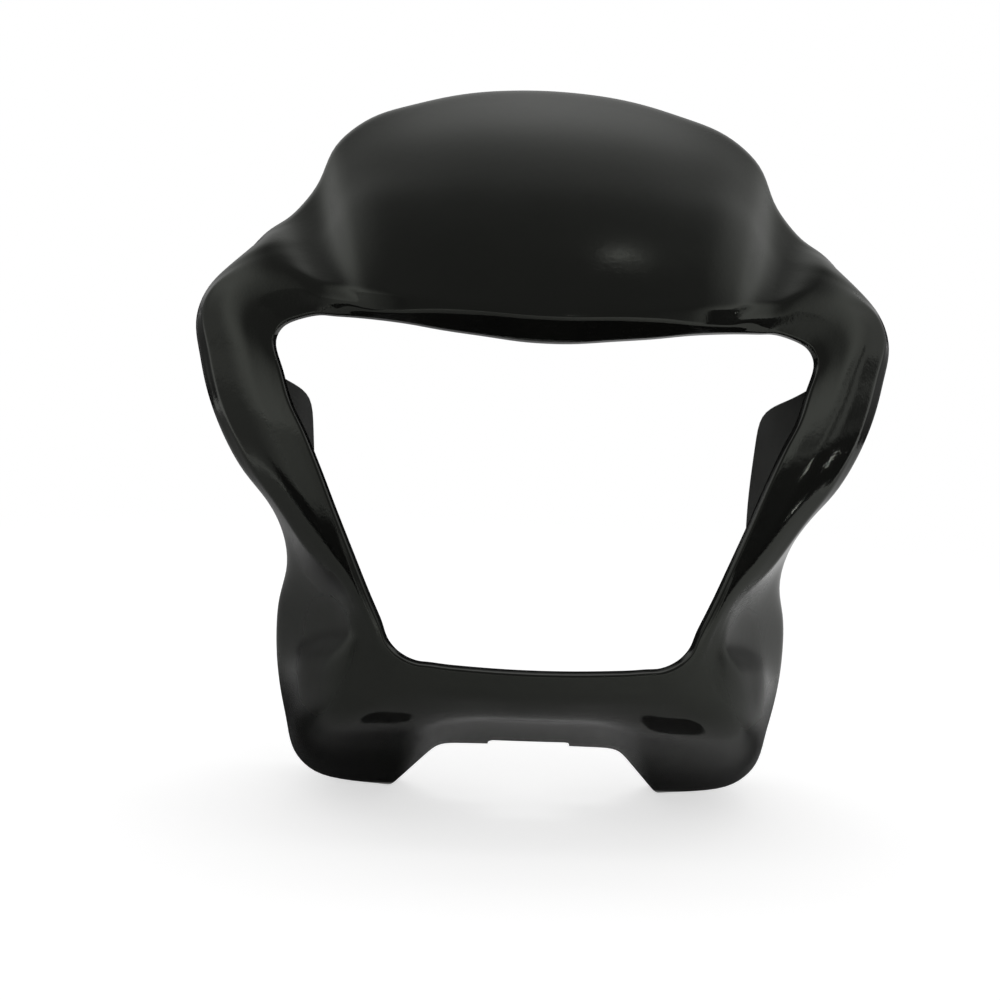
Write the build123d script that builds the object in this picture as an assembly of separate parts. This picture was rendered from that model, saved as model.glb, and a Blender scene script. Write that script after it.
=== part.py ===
from build123d import *
import os

# Motorcycle headlight mask, one thin moulded shell, in millimetres.
# X is across, -Y is the front, +Z is up. While it is drawn, the nose is near y = 0
# and the lobes stand on z = 0. At the end the middle of its depth is moved to y = 0.

# Wall and the lip that turns back around the headlamp opening
WALL = 2.5
LIP_DEPTH = 5.0
LIP_DRAFT = 0.9

# Headlamp opening
OPENING_HALF_TOP = 119.0
OPENING_HALF_BASE = 61.5
OPENING_BASE_Z = 76.5
OPENING_APEX_Z = 215.5
OPENING_CORNER_Z = 223.0

# Brow and dome
BROW_Z = 225.5
BROW_Y = 24.0
DOME_TOP_Z = 344.0
DOME_TOP_Y = 122.0
DOME_FLANK_X = 96.0
RIM_LEDGE = 9.0

# Wings, side panels and ears
WING_HALF = 158.0
WING_Z = 226.0
PANEL_HALF = 121.0
PANEL_Y = 64.0
EAR_HALF = 112.5
EAR_TOP_Z = 197.0
EAR_REAR_Y = 110.0
EAR_ROUND = 15.0

# Chin, lobes and the notch between them
CHIN_EDGE_Z = 30.0
CHIN_EDGE_Y = 50.0
LOBE_INNER_X = 65.0
LOBE_Y = 72.0
NOTCH_TOP_X = 42.0
NOTCH_ROUND = 10.0
EDGE_RETURN = 12.0

# Shallow relief in the middle of the chin's lower edge
RELIEF_WIDTH = 38.0
RELIEF_RISE = 3.6
RELIEF_ROUND = 3.0

# Bolt holes through the ears, each with a flat pad inside
EAR_HOLE = 8.5
EAR_PAD = 20.0
EAR_PAD_DEPTH = 5.0
EAR_HOLE_Y = 89.0
EAR_HOLE_Z = 128.0

# Bosses for the headlamp's screws, on the inner face above and below the opening
BOSS = 8.0
PILOT = 3.2
PILOT_DEPTH = 12.0
UPPER_BOSS_X = 88.0
UPPER_BOSS_Z = 238.0
LOWER_BOSS_X = 60.0
LOWER_BOSS_Z = 63.0
BOSS_HEIGHT = 15.0
RIB = 1.8
RIB_REACH = 9.0
RIB_HEIGHT = 8.0

# How far the rounding reaches to each side of an edge line
LIP_ROUND = 1.6
BROW_ROUND = 2.0
RIDGE_ROUND = 3.0
CREASE_ROUND = 3.2
RIM_ROUND = 6.0
LOBE_ROUND = 8.0
EDGE_ROUND = 4.0
SHARPEST = 0.6
SMOOTH_SHARE = 0.34
LEG_SHARE = 0.45

# Rails run round the half mask from the top centre to the bottom centre. Each has one
# point at every station: 0 top centre, 1 dome, 2 dome flank, 3 valley, 4 shoulder,
# 5 wing tip, 6 upper cheek, 7 middle cheek, 8 lower cheek, 9 end of the crease, 10 below it,
# 11 outer corner of the lobe, 12 inner corner of the lobe, 13 notch, 14 bottom centre
OPENING_RAIL = [
    (0, 34, OPENING_APEX_Z), (38, 35.5, OPENING_APEX_Z + 3), (72, 38.5, OPENING_CORNER_Z - 0.5),
    (91, 41, OPENING_CORNER_Z + 0.5), (104, 42.5, OPENING_CORNER_Z + 0.5),
    (OPENING_HALF_TOP, 43.5, OPENING_CORNER_Z - 6), (113.8, 34, 192), (101, 24.5, 167),
    (84.5, 14.5, 131), (69.5, 8, 99), (OPENING_HALF_BASE, 6, OPENING_BASE_Z + 7),
    (OPENING_HALF_BASE - 6.5, 5.3, OPENING_BASE_Z + 3), (43, 5, OPENING_BASE_Z + 1.2),
    (28, 4.5, OPENING_BASE_Z + 0.2), (0, 4, OPENING_BASE_Z - 0.5),
]
BROW_RAIL = [
    (0, BROW_Y, BROW_Z), (41, BROW_Y + 4, BROW_Z + 1), (74, BROW_Y + 10, BROW_Z - 0.5),
    (91.5, 40, BROW_Z + 1), (106.5, 43, 227.5),
    (OPENING_HALF_TOP + 5.5, 44.5, OPENING_CORNER_Z - 2), (120.5, 36, 193), (107.5, 26.5, 167.5),
    (88, 15.5, 131), (73, 8.5, 98), (OPENING_HALF_BASE + 3, 6.5, OPENING_BASE_Z + 4.5),
    (OPENING_HALF_BASE - 4.5, 5.8, OPENING_BASE_Z - 1), (44.5, 5.5, OPENING_BASE_Z - 3),
    (29, 5, OPENING_BASE_Z - 4), (0, 4.5, OPENING_BASE_Z - 4.5),
]
FACE_RAIL = [
    (0, BROW_Y + 1.5, BROW_Z + 3.5), (42, BROW_Y + 4.5, BROW_Z + 5), (76, BROW_Y + 10.5, BROW_Z + 8.5),
    (95, 42, BROW_Z + 11), (114, 45, 237.5),
    (138, 48, 230), (132.5, 40, 195), (120.5, 31, 168), (96.5, 18.5, 131), (75.5, 10.5, 96),
    (70, 8.5, 78), (65, 8, 69), (51, 7, 67), (31, 6, 67), (0, 5.5, 67),
]
CREASE_RAIL = [
    (0, 43.5, 265), (46, 47.5, 265.5), (86, 57, 266), (101, 56.5, 251), (125, 52.5, 248.5),
    (WING_HALF - 5.5, 54, WING_Z + 5), (147.5, 47, 197), (134.8, 38, 167),
    (107.5, 25, 131), (79.5, 14, 94), (84, 14, 74), (84, 14, 56), (54.5, 13, 56),
    (33, 12, 58), (0, 11, 58),
]
WALL_RAIL = [
    (0, 77, 306), (50, 79.5, 304), (93, 82, 294), (109, 72, 266), (131, 60, 255),
    (WING_HALF, 62, WING_Z), (153.5, 54, 196), (140.5, 45, 166), (112, 36.5, 130),
    (85.5, 26.5, 92), (101, 33, 68), (101, 38, 33), (59, 42, 29), (38, 32, 43), (0, 30, 46),
]
OUTER_RAIL = [
    (0, DOME_TOP_Y, DOME_TOP_Z), (52, DOME_TOP_Y - 6, DOME_TOP_Z - 7), (DOME_FLANK_X, 101, 316),
    (115.5, 83, 277), (134, 67, 256), (WING_HALF - 3, 78, 214), (146, 74, 188),
    (130, 72, 160), (PANEL_HALF - 5, PANEL_Y + 2, 118), (PANEL_HALF, PANEL_Y, 80),
    (PANEL_HALF - 3, PANEL_Y + 1.5, 45), (107, PANEL_Y + 3, 10.5), (LOBE_INNER_X, LOBE_Y, 0),
    (NOTCH_TOP_X, CHIN_EDGE_Y + 2, CHIN_EDGE_Z - 1), (0, CHIN_EDGE_Y, CHIN_EDGE_Z),
]
REAR_RAIL = [
    (0, DOME_TOP_Y + RIM_LEDGE, DOME_TOP_Z - 1), (51.5, DOME_TOP_Y - 6 + RIM_LEDGE, DOME_TOP_Z - 8),
    (DOME_FLANK_X - 1, 101 + RIM_LEDGE, 315), (114.5, 83 + RIM_LEDGE, 275),
    (132, 67 + RIM_LEDGE, 253), (151, 85, 213), (131, 88, EAR_TOP_Z + 2),
    (EAR_HALF, 101, EAR_TOP_Z - 10), (EAR_HALF, EAR_REAR_Y, 125), (116, EAR_REAR_Y + 2, 82),
    (112, EAR_REAR_Y - 2, 50), (101, 100, 20), (LOBE_INNER_X - 1, LOBE_Y + EDGE_RETURN, 2),
    (NOTCH_TOP_X - 1, CHIN_EDGE_Y + 2 + EDGE_RETURN, CHIN_EDGE_Z + 1),
    (0, CHIN_EDGE_Y + EDGE_RETURN, CHIN_EDGE_Z + 2),
]

# Stations where a rail turns a corner, with the reach of its rounding
OUTER_CORNERS = {12: EDGE_ROUND, 13: NOTCH_ROUND}
REAR_CORNERS = {7: EAR_ROUND, 12: EDGE_ROUND, 13: NOTCH_ROUND}

# The station with so little change about it that the two sections beside its middle are enough
GENTLE_STATION = 10

# Stations where a rail is an edge across the wall, with the reach of its rounding
ALL_STATIONS = range(15)
LIP_EDGE = {k: LIP_ROUND for k in ALL_STATIONS}
BROW_EDGE = {0: BROW_ROUND, 1: BROW_ROUND, 2: BROW_ROUND}
RIDGE_EDGE = {1: RIDGE_ROUND, 2: RIDGE_ROUND, 3: RIDGE_ROUND}
CREASE_EDGE = {k: CREASE_ROUND for k in range(5, 10)}
OUTER_EDGE = {0: RIM_ROUND, 1: RIM_ROUND, 2: RIM_ROUND, 3: RIM_ROUND, 4: RIM_ROUND,
              9: RIM_ROUND, 10: RIM_ROUND, 11: LOBE_ROUND, 12: EDGE_ROUND, 13: EDGE_ROUND,
              14: EDGE_ROUND}


def mirrored(point):
    return Vector(-point.X, point.Y, point.Z)


def handles(before, point, after, reach):
    """Three control points about a rail point: on a parabola, or on straight legs at a corner."""
    near = (point - before).length
    far = (after - point).length
    arriving = (point - before) / near
    leaving = (after - point) / far
    if reach is not None:
        back = min(reach, LEG_SHARE * near)
        forth = min(reach, LEG_SHARE * far)
        return [point - arriving * back, point, point + leaving * forth]
    slope = (arriving * far + leaving * near) / (near + far)
    bend = (leaving - arriving) / (near + far)
    back = SMOOTH_SHARE * near
    forth = SMOOTH_SHARE * far
    return [point - slope * back + bend * back**2, point, point + slope * forth + bend * forth**2]


def ring_controls(points, corners):
    """Control points of one rail, with the other half of the mask as its neighbour at both ends."""
    line = [mirrored(points[1])] + points + [mirrored(points[-2])]
    controls = []
    for k in range(len(points)):
        controls += handles(line[k], line[k + 1], line[k + 2], corners.get(k))
    return controls


def lip_rail():
    """The lip's inner end, straight back from the opening's edge and a little inwards."""
    middle = Vector(0, 0, (OPENING_BASE_Z + OPENING_CORNER_Z) / 2)
    rail = []
    for point in OPENING_RAIL:
        inwards = Vector(middle.X - point[0], 0, middle.Z - point[2]).normalized()
        rail.append(Vector(*point) + Vector(0, LIP_DEPTH, 0) + inwards * LIP_DRAFT)
    return rail


def outer_rows():
    """Rows of rail points round the ring, one row for every control point of a rail."""
    corners = [{}, {}, {}, {}, {}, {}, OUTER_CORNERS, REAR_CORNERS]
    rails = [lip_rail()]
    for rail in (OPENING_RAIL, BROW_RAIL, FACE_RAIL, CREASE_RAIL, WALL_RAIL, OUTER_RAIL, REAR_RAIL):
        rails.append([Vector(*point) for point in rail])
    rings = [ring_controls(rail, corner) for rail, corner in zip(rails, corners)]
    return [list(row) for row in zip(*rings)]


def inner_row(before, row, after):
    """The same row moved inwards by the wall."""
    inner = []
    for j, point in enumerate(row):
        along = after[j] - before[j]
        normals = []
        if j > 0:
            normals.append(along.cross(point - row[j - 1]).normalized())
        if j < len(row) - 1:
            normals.append(along.cross(row[j + 1] - point).normalized())
        together = normals[0] + normals[-1]
        mitre = 2 / together.dot(together)
        inner.append(point - together * (WALL * mitre))
    return inner


def section_controls(row, station, shrink):
    """Control points of one section across the wall."""
    edges = [LIP_EDGE, BROW_EDGE, RIDGE_EDGE, CREASE_EDGE, {}, OUTER_EDGE]
    controls = [row[0]]
    for j, edge in enumerate(edges, start=1):
        reach = edge.get(station)
        if reach is not None:
            reach = max(reach - shrink, SHARPEST)
        controls += handles(row[j - 1], row[j], row[j + 1], reach)
    controls.append(row[-1])
    return controls


def blended(nets):
    """Rows of a smooth surface over the control rows."""
    rows = []
    for before, here, after in zip(nets, nets[1:], nets[2:]):
        rows.append([(a + b * 4 + c) / 6 for a, b, c in zip(before, here, after)])
    return rows


def spline_edge(controls):
    last = len(controls) - 3
    knots = [0] * 4 + list(range(1, last)) + [last] * 4
    return Edge.make_bspline(controls, knots, 3)


def wall_section(outer, inner):
    """One closed section: outer face, rear edge, inner face, end of the lip."""
    edges = [
        spline_edge(outer),
        Edge.make_line(outer[-1], inner[-1]),
        spline_edge(inner[::-1]),
        Edge.make_line(inner[0], outer[0]),
    ]
    return Wire(edges)


def wall_nets():
    """Control rows of the outer and the inner face, from the top centre to the bottom centre."""
    rows = outer_rows()
    rows = [[mirrored(p) for p in rows[3]]] + rows + [[mirrored(p) for p in rows[-4]]]
    outer, inner = [], []
    for i in range(1, len(rows) - 1):
        station = (i - 1) // 3
        outer.append(section_controls(rows[i], station, 0))
        inward = inner_row(rows[i - 1], rows[i], rows[i + 1])
        inner.append(section_controls(inward, station, WALL / 2))
    return outer, inner


def half_wall():
    """The right half of the shell, lofted through its wall sections."""
    outer, inner = [blended(net) for net in wall_nets()]
    outer = [[mirrored(p) for p in outer[1]]] + outer + [[mirrored(p) for p in outer[-2]]]
    inner = [[mirrored(p) for p in inner[1]]] + inner + [[mirrored(p) for p in inner[-2]]]
    sections = [wall_section(a, b) for a, b in zip(outer, inner)]
    del sections[3 * GENTLE_STATION + 1]
    wall = Solid.make_loft(sections)
    room = 4 * DOME_TOP_Z
    keep = Box(room, room, room, align=(Align.MIN, Align.CENTER, Align.CENTER))
    return wall & keep


def wall_at(wall, axis):
    """Where the line meets the wall: its middle, its thickness along the line, its normal."""
    hits = wall.find_intersection_points(axis)
    first, normal = hits[0]
    second = hits[1][0]
    return (first + second) / 2, (second - first).length, normal


def up_to_wall(wall, rod, axis):
    """The rod, which runs along the axis, cut off in the middle of the wall."""
    middle, _, normal = wall_at(wall, axis)
    if normal.dot(axis.direction) < 0:
        normal = -normal
    beyond = Plane(origin=middle, z_dir=normal)
    room = 4 * BOSS_HEIGHT
    return rod - beyond * Box(room, room, room, align=(Align.CENTER, Align.CENTER, Align.MIN))


def screw_boss(wall, x, z):
    """A screw boss with two ribs, from its rear face forwards to the wall, and its pilot hole."""
    axis = Axis((x, DOME_TOP_Y, z), (0, -1, 0))
    middle, _, _ = wall_at(wall, axis)
    rear_y = middle.Y + BOSS_HEIGHT
    seat = Plane(origin=(x, rear_y, z), x_dir=(1, 0, 0), z_dir=(0, -1, 0))
    length = 2 * BOSS_HEIGHT
    at_seat = (Align.CENTER, Align.CENTER, Align.MIN)
    rod = seat * Cylinder(BOSS / 2, length, align=at_seat)
    rib_seat = seat.offset(BOSS_HEIGHT - RIB_HEIGHT)
    ribs = rib_seat * Box(2 * RIB_REACH, RIB, length, align=at_seat)
    pilot = seat * Cylinder(PILOT / 2, PILOT_DEPTH, align=at_seat)
    return up_to_wall(wall, rod + ribs, axis), pilot


def ear_pad(wall):
    """The pad round the ear's bolt hole, and the hole."""
    axis = Axis((0, EAR_HOLE_Y, EAR_HOLE_Z), (1, 0, 0))
    middle, thickness, _ = wall_at(wall, axis)
    face_x = middle.X - thickness / 2 - EAR_PAD_DEPTH
    face = Plane(origin=(face_x, EAR_HOLE_Y, EAR_HOLE_Z), z_dir=(1, 0, 0))
    length = 4 * EAR_PAD_DEPTH
    at_face = (Align.CENTER, Align.CENTER, Align.MIN)
    pad = face * Cylinder(EAR_PAD / 2, length, align=at_face)
    hole = face * Cylinder(EAR_HOLE / 2, length, align=at_face)
    return up_to_wall(wall, pad, axis), hole


def chin_relief():
    """The piece taken out of the chin's lower edge, square to the wall there."""
    down_wall = (Vector(*OUTER_RAIL[-1]) - Vector(*WALL_RAIL[-1])).normalized()
    start = Vector(*OUTER_RAIL[-1]) - down_wall * (RELIEF_RISE / abs(down_wall.Z))
    across = Plane(origin=start, x_dir=(1, 0, 0), z_dir=down_wall)
    down = (Align.CENTER, Align.CENTER, Align.MIN)
    block = Box(RELIEF_WIDTH, 4 * EDGE_RETURN, 2 * EDGE_RETURN, align=down)
    corners = block.edges().filter_by(Axis.Y).sort_by(Axis.Z)[:2]
    return across * fillet(corners, RELIEF_ROUND)


def mask_shell():
    """The whole shell, standing on its lobes with the middle of its depth at y = 0."""
    half = half_wall()
    additions = []
    holes = []
    fittings = [
        screw_boss(half, UPPER_BOSS_X, UPPER_BOSS_Z),
        screw_boss(half, LOWER_BOSS_X, LOWER_BOSS_Z),
        ear_pad(half),
    ]
    for added, hole in fittings:
        additions.append(added)
        holes.append(hole)
    half = half + additions - holes
    whole = half + mirror(half, about=Plane.YZ) - chin_relief()
    box = whole.bounding_box()
    return Pos(0, -box.center().Y, -box.min.Z) * whole


if __name__ == "__main__":
    os.makedirs("parts", exist_ok=True)
    shell = mask_shell()
    export_step(shell, "parts/mask_shell.step")
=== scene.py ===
import math

import bmesh
import bpy
import numpy as np
from mathutils import Matrix, Vector
from mathutils.bvhtree import BVHTree


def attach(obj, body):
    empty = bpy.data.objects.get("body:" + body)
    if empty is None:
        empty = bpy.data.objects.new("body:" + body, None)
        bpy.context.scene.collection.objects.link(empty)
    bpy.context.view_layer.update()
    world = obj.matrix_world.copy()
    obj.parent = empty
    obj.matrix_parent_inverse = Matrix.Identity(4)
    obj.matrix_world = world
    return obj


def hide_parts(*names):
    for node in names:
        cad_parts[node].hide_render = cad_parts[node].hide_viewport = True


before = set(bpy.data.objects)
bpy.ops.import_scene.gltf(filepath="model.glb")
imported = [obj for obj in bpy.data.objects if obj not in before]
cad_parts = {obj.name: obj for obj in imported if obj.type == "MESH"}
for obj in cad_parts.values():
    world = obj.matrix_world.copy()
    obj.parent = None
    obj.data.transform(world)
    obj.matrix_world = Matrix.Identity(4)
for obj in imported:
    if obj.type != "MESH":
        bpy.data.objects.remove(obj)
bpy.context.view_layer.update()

# Sizes and rails are in millimetres, drawn with the nose near y = 0 as in the part's source.
# The finished points are moved into the frame and scaled to metres.
MM = 0.001
WALL = 2.5
LIP_DEPTH = 5.0
LIP_DRAFT = 0.9
OPENING_MIDDLE_Z = 149.75

# How far the rounding reaches to each side of an edge line
LIP_ROUND = 1.6
BROW_ROUND = 2.0
RIDGE_ROUND = 3.0
CREASE_ROUND = 3.2
RIM_ROUND = 6.0
LOBE_ROUND = 8.0
EDGE_ROUND = 4.0
SHARPEST = 0.6
NOTCH_ROUND = 10.0
EAR_ROUND = 15.0
SMOOTH_SHARE = 0.34
LEG_SHARE = 0.45

# Rounding of the wall's thin edges, at the lip and at the rear
BREAK = 0.5
BREAK_POINTS = 4

# Relief in the chin's lower edge, and how far its cutter reaches down and to either side
RELIEF_WIDTH = 38.0
RELIEF_RISE = 3.6
RELIEF_ROUND = 3.0
RELIEF_DOWN = 30.0
RELIEF_THROUGH = 24.0

# Ears' bolt holes, each with a flat pad inside
EAR_HOLE = 8.5
EAR_HOLE_Y = 89.0
EAR_HOLE_Z = 128.0
EAR_PAD = 20.0
EAR_PAD_X = 107.417
PAD_CHAMFER = 0.5
HOLE_CHAMFER = 0.3
HOLE_CUT_START = 1.0
HOLE_CUT_LENGTH = 30.0

# Screw bosses with their pilot holes and ribs, on the inner face
BOSS = 8.0
BOSS_SEATS = [(88.0, 57.8, 238.0), (60.0, 25.522, 63.0)]
BOSS_CHAMFER = 0.4
PILOT = 3.2
PILOT_DEPTH = 12.0
RIB = 1.8
RIB_REACH = 9.0
RIB_SETBACK = 7.0

# Fineness of the mesh: round the ring, across the wall, round a circle, along a rib, in a corner
RING_STEPS = 4
SECTION_STEPS = 6
CIRCLE_STEPS = 48
RIB_STEPS = 12
ARC_STEPS = 6
SHARP_ANGLE = 38

# Rails round the right half of the mask, from the top centre to the bottom centre, one point at
# each station: top centre, dome, dome flank, valley, shoulder, wing tip, three down the cheek,
# end of the crease, below it, lobe outside, lobe inside, notch, bottom centre. At the first four
# stations the face rail is the brow's ridge.
OPENING_RAIL = [
    (0, 34, 215.5), (38, 35.5, 218.5), (72, 38.5, 222.5), (91, 41, 223.5), (104, 42.5, 223.5),
    (119, 43.5, 217), (113.8, 34, 192), (101, 24.5, 167), (84.5, 14.5, 131), (69.5, 8, 99),
    (61.5, 6, 83.5), (55, 5.3, 79.5), (43, 5, 77.7), (28, 4.5, 76.7), (0, 4, 76),
]
BROW_RAIL = [
    (0, 24, 225.5), (41, 28, 226.5), (74, 34, 225), (91.5, 40, 226.5), (106.5, 43, 227.5),
    (124.5, 44.5, 221), (120.5, 36, 193), (107.5, 26.5, 167.5), (88, 15.5, 131), (73, 8.5, 98),
    (64.5, 6.5, 81), (57, 5.8, 75.5), (44.5, 5.5, 73.5), (29, 5, 72.5), (0, 4.5, 72),
]
FACE_RAIL = [
    (0, 25.5, 229), (42, 28.5, 230.5), (76, 34.5, 234), (95, 42, 236.5), (114, 45, 237.5),
    (138, 48, 230), (132.5, 40, 195), (120.5, 31, 168), (96.5, 18.5, 131), (75.5, 10.5, 96),
    (70, 8.5, 78), (65, 8, 69), (51, 7, 67), (31, 6, 67), (0, 5.5, 67),
]
CREASE_RAIL = [
    (0, 43.5, 265), (46, 47.5, 265.5), (86, 57, 266), (101, 56.5, 251), (125, 52.5, 248.5),
    (152.5, 54, 231), (147.5, 47, 197), (134.8, 38, 167), (107.5, 25, 131), (79.5, 14, 94),
    (84, 14, 74), (84, 14, 56), (54.5, 13, 56), (33, 12, 58), (0, 11, 58),
]
WALL_RAIL = [
    (0, 77, 306), (50, 79.5, 304), (93, 82, 294), (109, 72, 266), (131, 60, 255), (158, 62, 226),
    (153.5, 54, 196), (140.5, 45, 166), (112, 36.5, 130), (89.5, 28, 91), (101, 33, 68),
    (101, 38, 33), (59, 42, 29), (38, 32, 43), (0, 30, 46),
]
OUTER_RAIL = [
    (0, 122, 344), (52, 116, 337), (96, 101, 316), (115.5, 83, 277), (134, 67, 256), (155, 78, 214),
    (146, 74, 188), (130, 72, 160), (116, 66, 118), (121, 64, 80), (118, 65.5, 45), (107, 67, 10.5),
    (65, 72, 0), (42, 52, 29), (0, 50, 30),
]
REAR_RAIL = [
    (0, 131, 343), (51.5, 125, 336), (95, 110, 315), (114.5, 92, 275), (132, 76, 253),
    (151, 85, 213), (131, 88, 199), (112.5, 101, 187), (112.5, 110, 125), (116, 112, 82),
    (112, 108, 50), (101, 100, 20), (64, 84, 2), (41, 64, 31), (0, 62, 32),
]
STATIONS = len(OPENING_RAIL)

# Stations where a rail turns a corner, then stations where a rail is an edge across the wall
OUTER_CORNERS = {12: EDGE_ROUND, 13: NOTCH_ROUND}
REAR_CORNERS = {7: EAR_ROUND, 12: EDGE_ROUND, 13: NOTCH_ROUND}
LIP_EDGE = {k: LIP_ROUND for k in range(STATIONS)}
BROW_EDGE = {0: BROW_ROUND, 1: BROW_ROUND, 2: BROW_ROUND}
RIDGE_EDGE = {1: RIDGE_ROUND, 2: RIDGE_ROUND, 3: RIDGE_ROUND}
CREASE_EDGE = {k: CREASE_ROUND for k in range(5, 10)}
OUTER_EDGE = {0: RIM_ROUND, 1: RIM_ROUND, 2: RIM_ROUND, 3: RIM_ROUND, 4: RIM_ROUND,
              9: RIM_ROUND, 10: RIM_ROUND, 11: LOBE_ROUND, 12: EDGE_ROUND, 13: EDGE_ROUND,
              14: EDGE_ROUND}


def length(v):
    return float(np.linalg.norm(v))


def unit(v):
    return v / length(v)


def mirrored(points):
    return np.asarray(points, float) * (-1, 1, 1)


def handles(before, point, after, reach):
    """Three control points about a rail point: on a parabola, or on straight legs at a corner."""
    near = length(point - before)
    far = length(after - point)
    arriving = (point - before) / near
    leaving = (after - point) / far
    if reach is not None:
        back = min(reach, LEG_SHARE * near)
        forth = min(reach, LEG_SHARE * far)
        return [point - arriving * back, point, point + leaving * forth]
    slope = (arriving * far + leaving * near) / (near + far)
    bend = (leaving - arriving) / (near + far)
    back = SMOOTH_SHARE * near
    forth = SMOOTH_SHARE * far
    return [point - slope * back + bend * back**2, point, point + slope * forth + bend * forth**2]


def ring_controls(rail, corners):
    """Control points of one rail, with the other half of the mask as its neighbour at both ends."""
    line = np.vstack([mirrored(rail[1]), rail, mirrored(rail[-2])])
    controls = []
    for k in range(STATIONS):
        controls += handles(line[k], line[k + 1], line[k + 2], corners.get(k))
    return np.array(controls)


def lip_rail():
    """The lip's inner end, straight back from the opening's edge and a little inwards."""
    rail = np.array(OPENING_RAIL, float)
    middle = np.array([0, 0, OPENING_MIDDLE_Z])
    inwards = (middle - rail) * (1, 0, 1)
    inwards /= np.linalg.norm(inwards, axis=1)[:, None]
    return rail + (0, LIP_DEPTH, 0) + inwards * LIP_DRAFT


def inner_row(before, row, after):
    """The same row of rail points moved inwards by the wall."""
    inner = []
    for j, point in enumerate(row):
        along = after[j] - before[j]
        normals = []
        if j > 0:
            normals.append(unit(np.cross(along, point - row[j - 1])))
        if j < len(row) - 1:
            normals.append(unit(np.cross(along, row[j + 1] - point)))
        together = normals[0] + normals[-1]
        inner.append(point - together * (WALL * 2 / together.dot(together)))
    return np.array(inner)


def section_controls(row, station, shrink):
    """Control points of one section across the wall."""
    edges = [LIP_EDGE, BROW_EDGE, RIDGE_EDGE, CREASE_EDGE, {}, OUTER_EDGE]
    controls = [row[0]]
    for j, edge in enumerate(edges, start=1):
        reach = edge.get(station)
        if reach is not None:
            reach = max(reach - shrink, SHARPEST)
        controls += handles(row[j - 1], row[j], row[j + 1], reach)
    controls.append(row[-1])
    return controls


def wall_nets():
    """Control nets of the outer and the inner face of the right half."""
    corners = [{}, {}, {}, {}, {}, {}, OUTER_CORNERS, REAR_CORNERS]
    rails = [
        lip_rail(), OPENING_RAIL, BROW_RAIL, FACE_RAIL, CREASE_RAIL, WALL_RAIL, OUTER_RAIL,
        REAR_RAIL,
    ]
    rings = [ring_controls(np.array(rail, float), corner) for rail, corner in zip(rails, corners)]
    rows = np.stack(rings, axis=1)
    rows = np.concatenate([mirrored(rows[3])[None], rows, mirrored(rows[-4])[None]])
    outer = []
    inner = []
    for i in range(1, len(rows) - 1):
        station = (i - 1) // 3
        outer.append(section_controls(rows[i], station, 0))
        inward = inner_row(rows[i - 1], rows[i], rows[i + 1])
        inner.append(section_controls(inward, station, WALL / 2))
    return np.array(outer), np.array(inner)


def basis(count, knots, places):
    """Cubic B-spline weights of every control point at every place."""
    n = np.zeros((len(places), len(knots) - 1))
    for i, t in enumerate(places):
        span = min(int(np.searchsorted(knots, t, side="right")) - 1, count - 1)
        n[i, span] = 1
    for degree in (1, 2, 3):
        wider = np.zeros((len(places), n.shape[1] - 1))
        for k in range(n.shape[1] - 1):
            rise = knots[k + degree] - knots[k]
            fall = knots[k + degree + 1] - knots[k + 1]
            if rise > 0:
                wider[:, k] += (places - knots[k]) / rise * n[:, k]
            if fall > 0:
                wider[:, k] += (knots[k + degree + 1] - places) / fall * n[:, k + 1]
        n = wider
    return n


def face_grid(net):
    """A dense grid of points on the smooth surface over a control net."""
    rows, columns = net.shape[:2]
    ring_knots = np.arange(-2.0, rows + 2)
    ring_places = np.linspace(1, rows - 2, (rows - 3) * RING_STEPS + 1)
    along = basis(rows, ring_knots, ring_places)
    last = columns - 3
    section_knots = np.array([0.0] * 3 + list(range(last + 1)) + [last] * 3)
    section_places = np.linspace(0, last, last * SECTION_STEPS + 1)
    across = basis(columns, section_knots, section_places)
    return np.einsum("ri,ijc,sj->rsc", along, net, across)


def whole_ring(half):
    """The right half's grid and its mirror image, as one closed ring."""
    left = mirrored(half[1:-1])[::-1]
    return np.concatenate([half, left])


def broken_edge(ends, nexts, across):
    """Rows of points that round off one corner of the wall's thin edge."""
    along = ends - nexts
    along /= np.linalg.norm(along, axis=-1, keepdims=True)
    over = across / np.linalg.norm(across, axis=-1, keepdims=True)
    rows = []
    for angle in np.linspace(0, math.pi / 2, BREAK_POINTS):
        back = along * BREAK * (math.sin(angle) - 1)
        rows.append(ends + back + over * BREAK * (1 - math.cos(angle)))
    return rows


def shell_loops(outer, inner):
    """Closed loops of points across the wall, and which places on each are on the inside."""
    rear_out = broken_edge(outer[:, -1], outer[:, -2], inner[:, -1] - outer[:, -1])
    rear_in = broken_edge(inner[:, -1], inner[:, -2], outer[:, -1] - inner[:, -1])
    lip_in = broken_edge(inner[:, 0], inner[:, 1], outer[:, 0] - inner[:, 0])
    lip_out = broken_edge(outer[:, 0], outer[:, 1], inner[:, 0] - outer[:, 0])
    faces_out = [outer[:, k] for k in range(1, outer.shape[1] - 1)]
    faces_in = [inner[:, k] for k in range(inner.shape[1] - 2, 0, -1)]
    rows = faces_out + rear_out + rear_in[::-1] + faces_in + lip_in + lip_out[::-1]
    first = len(faces_out) + len(rear_out)
    return np.stack(rows, axis=1), range(first, len(rows) - len(lip_out))


def mesh_of(name, points, faces):
    """A mesh in metres in the frame, from points in drawn millimetres."""
    mesh = bpy.data.meshes.new(name)
    placed = (np.array(points, float) + shift) * MM
    mesh.from_pydata(placed.tolist(), [], faces)
    mesh.update()
    return mesh


def linked(name, data):
    piece = bpy.data.objects.new(name, data)
    bpy.context.scene.collection.objects.link(piece)
    return piece


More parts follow.
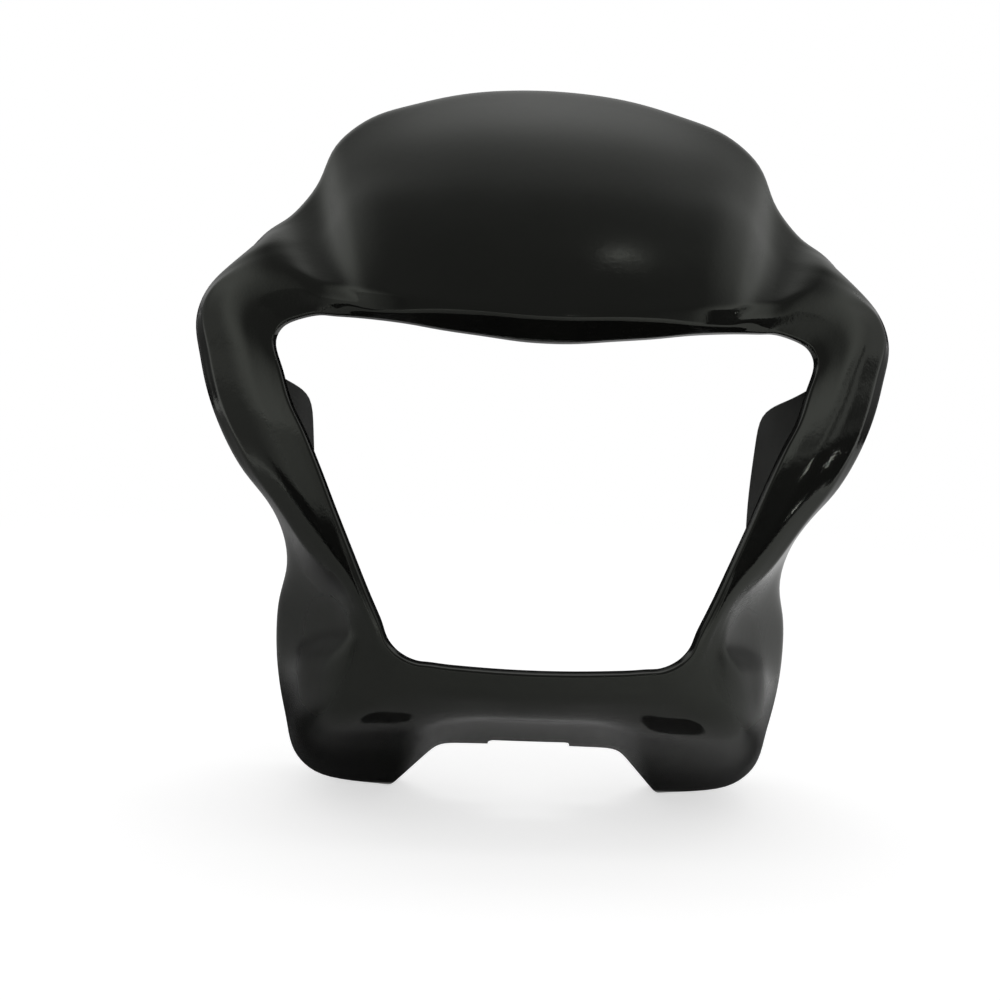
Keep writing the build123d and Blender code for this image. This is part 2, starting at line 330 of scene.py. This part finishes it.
def loop_faces(ring, across):
    """Quads of a closed band of closed loops."""
    here = np.arange(ring * across).reshape(ring, across)
    onward = np.roll(here, -1, axis=0)
    beside = np.roll(here, -1, axis=1)
    corner = np.roll(onward, -1, axis=1)
    return np.stack([here, beside, corner, onward], axis=-1).reshape(-1, 4).tolist()


def strip_faces(rows, count, first_cap, last_cap):
    """Quads between rows of the same number of points, with a flat cap on either end if asked."""
    faces = []
    for r in range(rows - 1):
        for k in range(count):
            n = (k + 1) % count
            low = r * count
            high = low + count
            faces.append((low + k, low + n, high + n, high + k))
    if first_cap:
        faces.append(tuple(range(count - 1, -1, -1)))
    if last_cap:
        faces.append(tuple(range((rows - 1) * count, rows * count)))
    return faces


def circle(middle, radius, across, up):
    points = []
    for k in range(CIRCLE_STEPS):
        angle = 2 * math.pi * k / CIRCLE_STEPS
        side = across * (radius * math.cos(angle))
        points.append(middle + side + up * (radius * math.sin(angle)))
    return points


X = Vector((1, 0, 0))
Y = Vector((0, 1, 0))
Z = Vector((0, 0, 1))


def into_wall(wall, point, way):
    """Where a line from the point first meets the wall, and half a wall further on."""
    hit = wall.ray_cast(point, way)[0]
    return hit + way * (WALL / 2)


def boss_parts(wall, seat, side):
    """One screw boss with its pilot hole, and its rib, on one side of the mask."""
    middle = Vector((seat[0] * side, seat[1], seat[2]))
    way = -Y
    seat_edge = circle(middle, BOSS / 2 - BOSS_CHAMFER, X, Z)
    below_edge = circle(middle + way * BOSS_CHAMFER, BOSS / 2, X, Z)
    far = [into_wall(wall, p, way) for p in below_edge]
    mouth = circle(middle, PILOT / 2 + HOLE_CHAMFER, X, Z)
    throat = circle(middle + way * HOLE_CHAMFER, PILOT / 2, X, Z)
    bottom = circle(middle + way * PILOT_DEPTH, PILOT / 2, X, Z)
    rows = [far, below_edge, seat_edge, mouth, throat, bottom]
    points = [p for row in rows for p in row]
    boss = (points, strip_faces(len(rows), len(far), True, True))
    rows = []
    for k in range(RIB_STEPS + 1):
        x = middle.x + RIB_REACH * (2 * k / RIB_STEPS - 1)
        back = Vector((x, middle.y - RIB_SETBACK, middle.z))
        low = back - Z * (RIB / 2)
        high = back + Z * (RIB / 2)
        rows.append([low, high, into_wall(wall, high, way), into_wall(wall, low, way)])
    points = [p for row in rows for p in row]
    rib = (points, strip_faces(len(rows), 4, True, True))
    return [boss, rib]


def pad_part(wall, side):
    """The pad round an ear's bolt hole, with the hole through it."""
    middle = Vector((EAR_PAD_X * side, EAR_HOLE_Y, EAR_HOLE_Z))
    way = X * side
    face_edge = circle(middle, EAR_PAD / 2 - PAD_CHAMFER, Y, Z)
    below_edge = circle(middle + way * PAD_CHAMFER, EAR_PAD / 2, Y, Z)
    far = [into_wall(wall, p, way) for p in below_edge]
    mouth = circle(middle, EAR_HOLE / 2 + HOLE_CHAMFER, Y, Z)
    throat = circle(middle + way * HOLE_CHAMFER, EAR_HOLE / 2, Y, Z)
    end = [into_wall(wall, p, way) for p in throat]
    rows = [far, below_edge, face_edge, mouth, throat, end]
    points = [p for row in rows for p in row]
    count = len(far)
    faces = strip_faces(len(rows), count, False, False)
    last = (len(rows) - 1) * count
    for k in range(count):
        n = (k + 1) % count
        faces.append((last + k, last + n, n, k))
    return points, faces


def hole_cutter(side):
    """The rod that bores an ear's bolt hole through the wall."""
    way = X * side
    start = Vector((EAR_PAD_X * side, EAR_HOLE_Y, EAR_HOLE_Z)) - way * HOLE_CUT_START
    end = start + way * HOLE_CUT_LENGTH
    rows = [circle(start, EAR_HOLE / 2, Y, Z), circle(end, EAR_HOLE / 2, Y, Z)]
    return [p for row in rows for p in row], strip_faces(2, len(rows[0]), True, True)


def relief_cutter():
    """The piece taken out of the chin's lower edge, square to the wall there."""
    down = (Vector(OUTER_RAIL[-1]) - Vector(WALL_RAIL[-1])).normalized()
    start = Vector(OUTER_RAIL[-1]) - down * (RELIEF_RISE / abs(down.z))
    through = X.cross(down)
    half = RELIEF_WIDTH / 2
    outline = [(-half, RELIEF_DOWN), (half, RELIEF_DOWN)]
    for sign, turns in ((1, range(ARC_STEPS + 1)), (-1, range(ARC_STEPS, -1, -1))):
        for k in turns:
            angle = k * math.pi / (2 * ARC_STEPS)
            side = half - RELIEF_ROUND * (1 - math.cos(angle))
            outline.append((sign * side, RELIEF_ROUND * (1 - math.sin(angle))))
    rows = []
    for depth in (-RELIEF_THROUGH, RELIEF_THROUGH):
        rows.append([start + X * a + down * b + through * depth for a, b in outline])
    return [p for row in rows for p in row], strip_faces(2, len(outline), True, True)


def outwards(mesh):
    """Turns a closed mesh's faces outwards."""
    work = bmesh.new()
    work.from_mesh(mesh)
    bmesh.ops.recalc_face_normals(work, faces=work.faces)
    work.to_mesh(mesh)
    work.free()


def cut(piece, cutters):
    """Takes closed shapes out of the piece for good."""
    shapes = []
    for points, faces in cutters:
        shape = linked("cutter", mesh_of("cutter", points, faces))
        outwards(shape.data)
        shapes.append(shape)
        modifier = piece.modifiers.new("cut", "BOOLEAN")
        modifier.object = shape
        modifier.operation = "DIFFERENCE"
        modifier.solver = "EXACT"
    bpy.context.view_layer.update()
    finished = piece.evaluated_get(bpy.context.evaluated_depsgraph_get())
    mesh = bpy.data.meshes.new_from_object(finished)
    piece.modifiers.clear()
    piece.data = mesh
    for shape in shapes:
        bpy.data.objects.remove(shape)


def node(tree, kind, **inputs):
    """A shader node with some inputs set, named by their labels with underlines for blanks."""
    made = tree.nodes.new(kind)
    for name, value in inputs.items():
        made.inputs[name.replace("_", " ")].default_value = value
    return made


def math_node(tree, operation, first, second):
    """A maths node of two values, each a number or a socket."""
    made = tree.nodes.new("ShaderNodeMath")
    made.operation = operation
    for socket, value in zip(made.inputs, (first, second)):
        if isinstance(value, bpy.types.NodeSocket):
            tree.links.new(value, socket)
        else:
            socket.default_value = value
    return made.outputs[0]


def remap(tree, value, low, high, to_low, to_high, smooth=False):
    """A value's range stretched onto another, and held at its ends."""
    made = node(tree, "ShaderNodeMapRange", From_Min=low, From_Max=high, To_Min=to_low,
                To_Max=to_high)
    if smooth:
        made.interpolation_type = "SMOOTHSTEP"
    tree.links.new(value, made.inputs["Value"])
    return made.outputs[0]


def noise(tree, place, scale, detail, roughness=0.5):
    made = node(tree, "ShaderNodeTexNoise", Scale=scale, Detail=detail, Roughness=roughness)
    tree.links.new(place, made.inputs["Vector"])
    return made.outputs["Fac"]


def blended_colour(tree, share, first, second):
    """From the first colour to the second, the first being a colour or a socket."""
    made = tree.nodes.new("ShaderNodeMix")
    made.data_type = "RGBA"
    if isinstance(first, bpy.types.NodeSocket):
        tree.links.new(first, made.inputs["A"])
    else:
        made.inputs["A"].default_value = first
    made.inputs["B"].default_value = second
    tree.links.new(share, made.inputs["Factor"])
    return made.outputs["Result"]


def bump(tree, height, strength, distance):
    made = node(tree, "ShaderNodeBump", Strength=strength, Distance=distance)
    tree.links.new(height, made.inputs["Height"])
    return made


def new_material(name):
    material = bpy.data.materials.new(name)
    material.use_nodes = True
    return material, material.node_tree


PLASTIC_IOR = 1.5

# Satin dome: heights over which it starts, and half widths over which it ends, in metres
DOME_START = (0.232, 0.262)
DOME_END = (0.085, 0.12)
DOME_DULLNESS = 0.19

# Places on either side where the shine is duller: the pocket under the cheek and the lobe's corner.
# Each has its middle and the reach of its full and of its last dullness in metres, and an amount.
DULL_SPOTS = [
    ((0.093, -0.040, 0.080), 0.013, 0.036, 0.32),
    ((0.098, -0.036, 0.045), 0.008, 0.036, 0.20),
]


def dull_dome(tree, place):
    """Added roughness on the dome."""
    above = remap(tree, place.outputs["Z"], *DOME_START, 0.0, 1.0, smooth=True)
    half_width = math_node(tree, "ABSOLUTE", place.outputs["X"], 0.0)
    within = remap(tree, half_width, *DOME_END, 1.0, 0.0, smooth=True)
    return math_node(tree, "MULTIPLY", math_node(tree, "MULTIPLY", above, within), DOME_DULLNESS)


def dull_spot(tree, place, middle, core, reach, dullness):
    """Added roughness about a point, the same on both sides of the mask."""
    folded = tree.nodes.new("ShaderNodeCombineXYZ")
    tree.links.new(math_node(tree, "ABSOLUTE", place.outputs["X"], 0.0), folded.inputs["X"])
    tree.links.new(place.outputs["Y"], folded.inputs["Y"])
    tree.links.new(place.outputs["Z"], folded.inputs["Z"])
    away = tree.nodes.new("ShaderNodeVectorMath")
    away.operation = "DISTANCE"
    tree.links.new(folded.outputs["Vector"], away.inputs[0])
    away.inputs[1].default_value = middle
    return remap(tree, away.outputs["Value"], core, reach, dullness, 0.0, smooth=True)


def black_plastic():
    """High-gloss black moulded plastic: faint flow marks, orange peel, fine grain and dust."""
    material, tree = new_material("gloss_black")
    shader = tree.nodes["Principled BSDF"]
    shader.inputs["IOR"].default_value = PLASTIC_IOR
    shader.inputs["Specular Tint"].default_value = (0.95, 1.0, 0.89, 1)
    place = tree.nodes.new("ShaderNodeTexCoord").outputs["Object"]
    flow = noise(tree, place, 14.0, 4.0, 0.55)
    haze = noise(tree, place, 60.0, 6.0, 0.65)
    peel = noise(tree, place, 300.0, 3.0, 0.5)
    grain = noise(tree, place, 1100.0, 3.0, 0.6)
    dust = node(tree, "ShaderNodeTexVoronoi", Scale=420.0)
    tree.links.new(place, dust.inputs["Vector"])

    shade = remap(tree, flow, 0.3, 0.7, 0.0, 1.0)
    colour = blended_colour(tree, shade, (0.0035, 0.0036, 0.0034, 1), (0.0065, 0.0065, 0.0060, 1))
    speck = remap(tree, dust.outputs["Distance"], 0.0, 0.07, 1.0, 0.0)
    sparse = remap(tree, haze, 0.60, 0.72, 0.0, 1.0)
    dusty = math_node(tree, "MULTIPLY", speck, sparse)
    dust_share = math_node(tree, "MULTIPLY", dusty, 0.5)
    colour = blended_colour(tree, dust_share, colour, (0.09, 0.09, 0.085, 1))
    tree.links.new(colour, shader.inputs["Base Color"])

    split = tree.nodes.new("ShaderNodeSeparateXYZ")
    tree.links.new(place, split.inputs[0])
    dull = dull_dome(tree, split)
    for middle, core, reach, dullness in DULL_SPOTS:
        spot = dull_spot(tree, split, middle, core, reach, dullness)
        dull = math_node(tree, "ADD", dull, spot)
    dull = math_node(tree, "ADD", dull, remap(tree, haze, 0.3, 0.75, 0.03, 0.07))
    dull = math_node(tree, "ADD", dull, math_node(tree, "MULTIPLY", dusty, 0.25))
    tree.links.new(dull, shader.inputs["Roughness"])

    waves = bump(tree, peel, 0.05, 0.0006)
    fine = bump(tree, grain, 0.10, 0.0002)
    tree.links.new(waves.outputs["Normal"], fine.inputs["Normal"])
    tree.links.new(fine.outputs["Normal"], shader.inputs["Normal"])
    return material


def bare_plastic():
    """The unpainted inside: dull dark plastic with a fine moulded grain and faint flow marks."""
    material, tree = new_material("bare_black")
    shader = tree.nodes["Principled BSDF"]
    shader.inputs["IOR"].default_value = PLASTIC_IOR
    place = tree.nodes.new("ShaderNodeTexCoord").outputs["Object"]
    flow = noise(tree, place, 22.0, 5.0, 0.6)
    grain = noise(tree, place, 1400.0, 3.0, 0.6)
    shade = remap(tree, flow, 0.3, 0.7, 0.0, 1.0)
    colour = blended_colour(tree, shade, (0.026, 0.027, 0.025, 1), (0.040, 0.041, 0.037, 1))
    tree.links.new(colour, shader.inputs["Base Color"])
    tree.links.new(remap(tree, flow, 0.3, 0.7, 0.46, 0.58), shader.inputs["Roughness"])
    fine = bump(tree, grain, 0.25, 0.0002)
    tree.links.new(fine.outputs["Normal"], shader.inputs["Normal"])
    return material


outer_net, inner_net = wall_nets()
outer_face = whole_ring(face_grid(outer_net))
inner_face = whole_ring(face_grid(inner_net))
every = np.concatenate([outer_face.reshape(-1, 3), inner_face.reshape(-1, 3)])
shift = np.array([0, -(every[:, 1].min() + every[:, 1].max()) / 2, -every[:, 2].min()])

loops, inside = shell_loops(outer_face, inner_face)
shell_points = loops.reshape(-1, 3)
shell_faces = loop_faces(*loops.shape[:2])
wall = BVHTree.FromPolygons([Vector(p) for p in shell_points], shell_faces)

mask = linked("mask", mesh_of("mask_whole", shell_points, shell_faces))
on_loop = np.tile(np.arange(loops.shape[1]), loops.shape[0])
is_inside = (on_loop >= inside.start) & (on_loop < inside.stop)
mask.data.materials.append(black_plastic())
mask.data.materials.append(bare_plastic())
mask.data.polygons.foreach_set("material_index", is_inside.astype(np.int32))
outwards(mask.data)
cut(mask, [relief_cutter(), hole_cutter(1), hole_cutter(-1)])

added = [pad_part(wall, 1), pad_part(wall, -1)]
for seat in BOSS_SEATS:
    for side in (1, -1):
        added += boss_parts(wall, seat, side)

whole = bmesh.new()
whole.from_mesh(mask.data)
for points, faces in added:
    part = mesh_of("part", points, faces)
    part.polygons.foreach_set("material_index", [1] * len(part.polygons))
    outwards(part)
    whole.from_mesh(part)
    bpy.data.meshes.remove(part)
whole.to_mesh(mask.data)
whole.free()
mask.data.name = "mask"
mask.data.shade_smooth()
mask.data.set_sharp_from_angle(angle=math.radians(SHARP_ANGLE))

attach(mask, "root")
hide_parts("mask_shell")


# Camera, fitted to the photograph's outline. Angles are in radians, the place in drawn millimetres.
# The focal length is a share of the sensor's width.
CAMERA_PLACE = (-32.43, -445.4, 196.66)
CAMERA_TURN = 0.0292
CAMERA_DOWN = 0.1052
CAMERA_ROLL = 0.0414
FOCAL_SHARE = 1.1
SENSOR_WIDTH = 36
CLIP_END = 50

# White surroundings: their strength as light that falls on things, where 1 is what is seen
WORLD_LIGHT = 0.5
FLOOR_LIGHT = 0.4
FLOOR_GLOW = 0.6
FLOOR_HALF = 6
FLOOR_FADE = (0.35, 1.1)

# Black cards: points along each side, and the middle and radius of the curved ones, in metres
CARD_STEPS = 13
TENT_Z = 0.17
TENT_RADIUS = 1.3


def make_camera():
    data = bpy.data.cameras.new("camera")
    data.sensor_width = SENSOR_WIDTH
    data.lens = SENSOR_WIDTH * FOCAL_SHARE
    data.clip_end = CLIP_END
    camera = linked("camera", data)
    right = Vector((math.cos(CAMERA_TURN), -math.sin(CAMERA_TURN), 0))
    level = Vector((math.sin(CAMERA_TURN), math.cos(CAMERA_TURN), 0))
    ahead = level * math.cos(CAMERA_DOWN) - Vector((0, 0, math.sin(CAMERA_DOWN)))
    up = level * math.sin(CAMERA_DOWN) + Vector((0, 0, math.cos(CAMERA_DOWN)))
    rolled_right = right * math.cos(CAMERA_ROLL) + up * math.sin(CAMERA_ROLL)
    rolled_up = up * math.cos(CAMERA_ROLL) - right * math.sin(CAMERA_ROLL)
    turn = Matrix((rolled_right, rolled_up, -ahead)).transposed().to_4x4()
    place = (Vector(CAMERA_PLACE) + Vector(shift)) * MM
    camera.matrix_world = Matrix.Translation(place) @ turn
    bpy.context.scene.camera = camera


def seen_share(tree):
    """1 for what the camera and mirrors see directly, 0 for the light that falls on things."""
    path = tree.nodes.new("ShaderNodeLightPath")
    both = math_node(tree, "ADD", path.outputs["Is Camera Ray"], path.outputs["Is Glossy Ray"])
    return math_node(tree, "ADD", both, path.outputs["Is Transmission Ray"])


def make_world():
    """White all round, dimmer as a light than it is seen."""
    world = bpy.data.worlds.new("studio")
    bpy.context.scene.world = world
    world.use_nodes = True
    tree = world.node_tree
    background = tree.nodes["Background"]
    background.inputs["Color"].default_value = (1, 1, 1, 1)
    strength = remap(tree, seen_share(tree), 0, 1, WORLD_LIGHT, 1.0)
    tree.links.new(strength, background.inputs["Strength"])


def make_floor():
    """A plain white floor that fades into the white behind it, with the mask's soft shadow."""
    mesh = bpy.data.meshes.new("floor")
    corners = [(x * FLOOR_HALF, y * FLOOR_HALF, 0) for x, y in ((-1, -1), (1, -1), (1, 1), (-1, 1))]
    mesh.from_pydata(corners, [], [(0, 1, 2, 3)])
    floor = linked("floor", mesh)
    material, tree = new_material("floor")
    tree.nodes.clear()
    out = tree.nodes.new("ShaderNodeOutputMaterial")
    place = tree.nodes.new("ShaderNodeTexCoord").outputs["Object"]
    mottle = noise(tree, place, 9.0, 5.0)
    paint = blended_colour(tree, mottle, (0.79, 0.79, 0.79, 1), (0.81, 0.81, 0.81, 1))
    matt = tree.nodes.new("ShaderNodeBsdfDiffuse")
    tree.links.new(paint, matt.inputs["Color"])
    glow = tree.nodes.new("ShaderNodeEmission")
    glow_strength = math_node(tree, "MULTIPLY", seen_share(tree), FLOOR_GLOW)
    tree.links.new(glow_strength, glow.inputs["Strength"])
    near = tree.nodes.new("ShaderNodeAddShader")
    tree.links.new(matt.outputs[0], near.inputs[0])
    tree.links.new(glow.outputs[0], near.inputs[1])
    far = tree.nodes.new("ShaderNodeEmission")
    far_strength = remap(tree, seen_share(tree), 0, 1, FLOOR_LIGHT, 1.0)
    tree.links.new(far_strength, far.inputs["Strength"])
    reach = tree.nodes.new("ShaderNodeVectorMath")
    reach.operation = "LENGTH"
    tree.links.new(place, reach.inputs[0])
    share = remap(tree, reach.outputs["Value"], *FLOOR_FADE, 0.0, 1.0, smooth=True)
    blend = tree.nodes.new("ShaderNodeMixShader")
    tree.links.new(share, blend.inputs["Fac"])
    tree.links.new(near.outputs[0], blend.inputs[1])
    tree.links.new(far.outputs[0], blend.inputs[2])
    tree.links.new(blend.outputs[0], out.inputs["Surface"])
    mesh.materials.append(material)


def scrim_material(name, start, end, soft_side, soft_start, soft_end):
    """Black net: as dense as start at one end and as end at the other, thin at its edges."""
    material, tree = new_material(name)
    tree.nodes.clear()
    out = tree.nodes.new("ShaderNodeOutputMaterial")
    split = tree.nodes.new("ShaderNodeSeparateXYZ")
    tree.links.new(tree.nodes.new("ShaderNodeUVMap").outputs["UV"], split.inputs[0])
    u = split.outputs["X"]
    v = split.outputs["Y"]
    off_middle = math_node(tree, "ABSOLUTE", math_node(tree, "SUBTRACT", u, 0.5), 0.0)
    sides = remap(tree, off_middle, 0.5 - soft_side, 0.5, 1.0, 0.0, smooth=True)
    first = remap(tree, v, 0.0, soft_start, 0.0, 1.0, smooth=True)
    last = remap(tree, v, 1 - soft_end, 1.0, 1.0, 0.0, smooth=True)
    dense = remap(tree, v, 0.0, 1.0, start, end)
    share = math_node(tree, "MULTIPLY", math_node(tree, "MULTIPLY", sides, first),
                      math_node(tree, "MULTIPLY", last, dense))
    clear = tree.nodes.new("ShaderNodeBsdfTransparent")
    black = node(tree, "ShaderNodeEmission", Strength=0.0)
    mixed = tree.nodes.new("ShaderNodeMixShader")
    tree.links.new(share, mixed.inputs["Fac"])
    tree.links.new(clear.outputs[0], mixed.inputs[1])
    tree.links.new(black.outputs[0], mixed.inputs[2])
    tree.links.new(mixed.outputs[0], out.inputs["Surface"])
    return material


def scrim(name, points, start, end, soft_side, soft_start, soft_end):
    """A card over a square grid of points in metres, which only shows up in reflections."""
    faces = []
    for r in range(CARD_STEPS - 1):
        for c in range(CARD_STEPS - 1):
            a = r * CARD_STEPS + c
            faces.append((a, a + 1, a + CARD_STEPS + 1, a + CARD_STEPS))
    mesh = bpy.data.meshes.new(name)
    mesh.from_pydata(points, [], faces)
    places = mesh.uv_layers.new(name="place")
    for loop in mesh.loops:
        r, c = divmod(loop.vertex_index, CARD_STEPS)
        places.data[loop.index].uv = (c / (CARD_STEPS - 1), r / (CARD_STEPS - 1))
    mesh.materials.append(scrim_material(name, start, end, soft_side, soft_start, soft_end))
    net = linked(name, mesh)
    net.visible_camera = False
    net.visible_diffuse = False
    net.visible_shadow = False
    net.visible_transmission = False


def part_way(limits, share):
    """The value that lies this share of the way from the first limit to the second."""
    return limits[0] + (limits[1] - limits[0]) * share


def hung(sides, heights, radius=TENT_RADIUS):
    """Points of a curved card: sides and heights are angles from ahead, up over the top."""
    points = []
    for r in range(CARD_STEPS):
        p = math.radians(part_way(heights, r / (CARD_STEPS - 1)))
        for c in range(CARD_STEPS):
            q = math.radians(part_way(sides, c / (CARD_STEPS - 1)))
            points.append((radius * math.sin(q), -radius * math.cos(q) * math.cos(p),
                           TENT_Z + radius * math.cos(q) * math.sin(p)))
    return points


def laid(x_limits, y_limits, height, across=False):
    """Points of a flat card just above the floor, its rows along y, or along x when across."""
    points = []
    for r in range(CARD_STEPS):
        for c in range(CARD_STEPS):
            u, v = (r, c) if across else (c, r)
            x = part_way(x_limits, u / (CARD_STEPS - 1))
            y = part_way(y_limits, v / (CARD_STEPS - 1))
            points.append((x, y, height))
    return points


def rounded(x_limits, y_limits, height):
    """Points of a flat oval card just above the floor."""
    points = []
    for r in range(CARD_STEPS):
        v = 2 * r / (CARD_STEPS - 1) - 1
        for c in range(CARD_STEPS):
            u = 2 * c / (CARD_STEPS - 1) - 1
            x = u * math.sqrt(1 - v * v / 2)
            y = v * math.sqrt(1 - u * u / 2)
            x_place = part_way(x_limits, (x + 1) / 2)
            y_place = part_way(y_limits, (y + 1) / 2)
            points.append((x_place, y_place, height))
    return points


# Each card's name and points, its density at either end, and how far its sides and ends thin out.
# First the tent all round, then the room's dark shapes, what the lip sees, the floor, and painted
# shadow under the mask.
scrim("front_hood", hung((-50, 50), (-8, 125)), 0.83, 0.80, 0.26, 0.1, 0.33)
scrim("back_hood", hung((-89, 89), (112, 205)), 0.05, 0.90, 0.05, 0.25, 0.02)
scrim("side_right", hung((48, 89), (-20, 205)), 0.30, 0.45, 0.35, 0.1, 0.02)
scrim("side_left", hung((-89, -48), (-20, 205)), 0.45, 0.60, 0.35, 0.1, 0.02)
scrim("room_right", hung((38, 86), (-20, 21), 1.0), 0.95, 0.88, 0.04, 0.05, 0.05)
scrim("shelf_near", hung((51, 57), (21, 28), 0.95), 0.70, 0.50, 0.1, 0.05, 0.1)
scrim("shelf_far", hung((66, 79), (21, 32), 0.95), 0.85, 0.60, 0.1, 0.05, 0.2)
scrim("shelf_post", hung((60, 62), (20, 36), 0.93), 0.75, 0.75, 0.1, 0.05, 0.1)
scrim("room_left", hung((-62, -40), (-18, 2), 0.7), 0.93, 0.93, 0.06, 0.05, 0.08)
scrim("cheek_left", hung((-87, -22), (-14, 23), 1.1), 0.50, 0.35, 0.12, 0.2, 0.05)
scrim("behind", hung((-54, 52), (158, 206)), 0.90, 0.97, 0.06, 0.15, 0.15)
scrim("behind_high", hung((-34, 34), (136, 176)), 0.96, 0.96, 0.2, 0.3, 0.1)
scrim("floor_all", laid((-1.6, 1.6), (-1.6, 1.6), 0.0015), 0.08, 0.70, 0.02, 0.02, 0.02)
scrim("floor_left_half", laid((-1.6, 0.3), (-1.6, 1.6), 0.002), 0.20, 0.80, 0.25, 0.05, 0.05)
# Painted shadow: dark cards under the chin and the lobes, seen only in reflections, stand in for
# the mask's shadow on the floor.
scrim("floor_middle", laid((-0.07, 0.07), (-0.04, 0.35), 0.003), 0.45, 0.45, 0.2, 0.2, 0.2)
scrim("floor_right", laid((0.035, 0.30), (-0.035, 0.30), 0.0025, True), 0.86, 0.80, 0.1, 0.1, 0.6)
scrim("floor_left", laid((-0.035, -0.30), (-0.045, 0.30), 0.0025, True), 0.90, 0.86, 0.1, 0.1, 0.5)
# Painted shadow: round dark cards under the front of each lobe, seen only in reflections.
for name, x_limits, y_limits in [
    ("painted_shadow_right", (0.050, 0.081), (-0.061, -0.033)),
    ("painted_shadow_left", (-0.077, -0.053), (-0.055, -0.037)),
]:
    scrim(name, rounded(x_limits, y_limits, 0.0035), 0.85, 0.85, 0.08, 0.08, 0.08)


def hang_softbox(name, place, aim, size, power):
    data = bpy.data.lights.new(name, "AREA")
    data.shape = "RECTANGLE"
    data.size, data.size_y = size
    data.energy = power
    lamp = linked(name, data)
    turn = (Vector(aim) - Vector(place)).to_track_quat("-Z", "Y")
    lamp.matrix_world = Matrix.Translation(place) @ turn.to_matrix().to_4x4()
    return lamp


def hang_bulb(name, side, height, distance, width, power):
    """A small round lamp, given by the compass and height angles it is seen at from the mask."""
    q = math.radians(side)
    p = math.radians(height)
    place = (distance * math.sin(q) * math.cos(p), -distance * math.cos(q) * math.cos(p),
             TENT_Z + distance * math.sin(p))
    lamp = hang_softbox(name, place, (0, 0, TENT_Z), (width, width), power)
    lamp.data.shape = "DISK"


make_camera()
make_floor()
make_world()
hang_bulb("bulb_dome", 35, 61, 1.2, 0.05, 0.06)
hang_bulb("bulb_front", 12, 40, 1.2, 0.010, 0.03)
hang_bulb("bulb_room_a", 71, 2, 0.95, 0.006, 0.012)
hang_bulb("bulb_room_b", 66, -4, 0.95, 0.006, 0.012)
hang_bulb("bulb_room_c", 58, 8, 0.95, 0.006, 0.010)
overhead = hang_softbox("overhead", (0.1, 0.35, 1.9), (0, 0, 0.15), (1.2, 0.8), 4.0)
overhead.visible_glossy = False
bpy.context.scene.view_settings.view_transform = "Standard"
